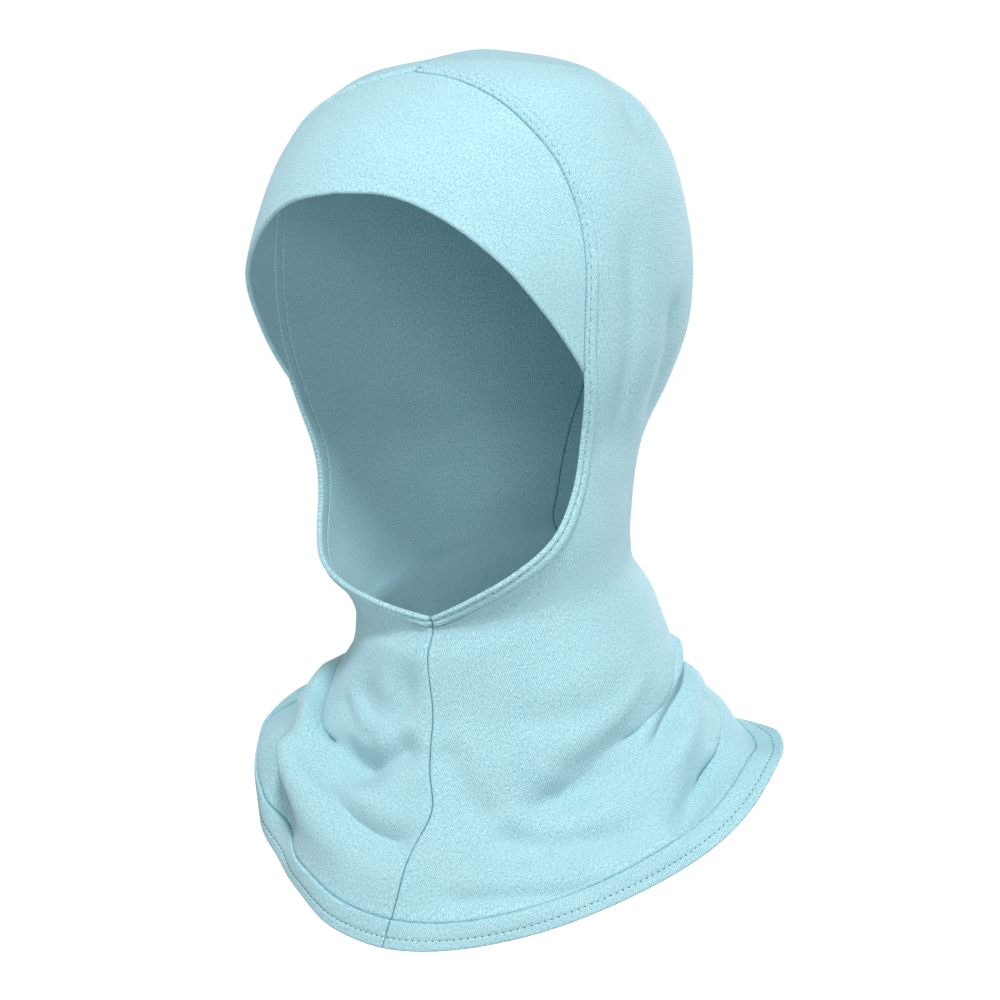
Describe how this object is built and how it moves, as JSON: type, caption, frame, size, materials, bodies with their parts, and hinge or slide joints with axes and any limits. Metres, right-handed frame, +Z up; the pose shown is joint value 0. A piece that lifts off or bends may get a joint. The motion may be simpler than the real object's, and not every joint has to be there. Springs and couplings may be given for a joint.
{
  "type": "hijab underscarf cap",
  "caption": "Full-cover jersey undercap: close hood of two side panels, a forehead band let in over the brow, an open face and a loose stitched bib over the shoulders.",
  "frame": {"origin": "inside of the crown, on the upright line through the top of the hood, where the cap rests on what holds it", "axes": "+Z up, the hood opens towards -Y, +X to the cap's left"},
  "size_m": [0.2096, 0.2089, 0.3442],
  "materials": {
    "band_jersey": "matt cotton jersey, pale aqua",
    "panel_jersey": "matt cotton jersey, pale aqua",
    "edge_jersey": "turned and stitched cotton jersey, pale aqua",
    "hem_jersey": "turned and twin stitched cotton jersey, pale aqua"
  },
  "bodies": {
    "root": {"forehead_band": "band_jersey", "side_panel_left": "panel_jersey", "side_panel_right": "panel_jersey", "turned_edge_left": "edge_jersey", "turned_edge_right": "edge_jersey", "hem_left": "hem_jersey", "hem_right": "hem_jersey"}
  },
  "joints": []
}
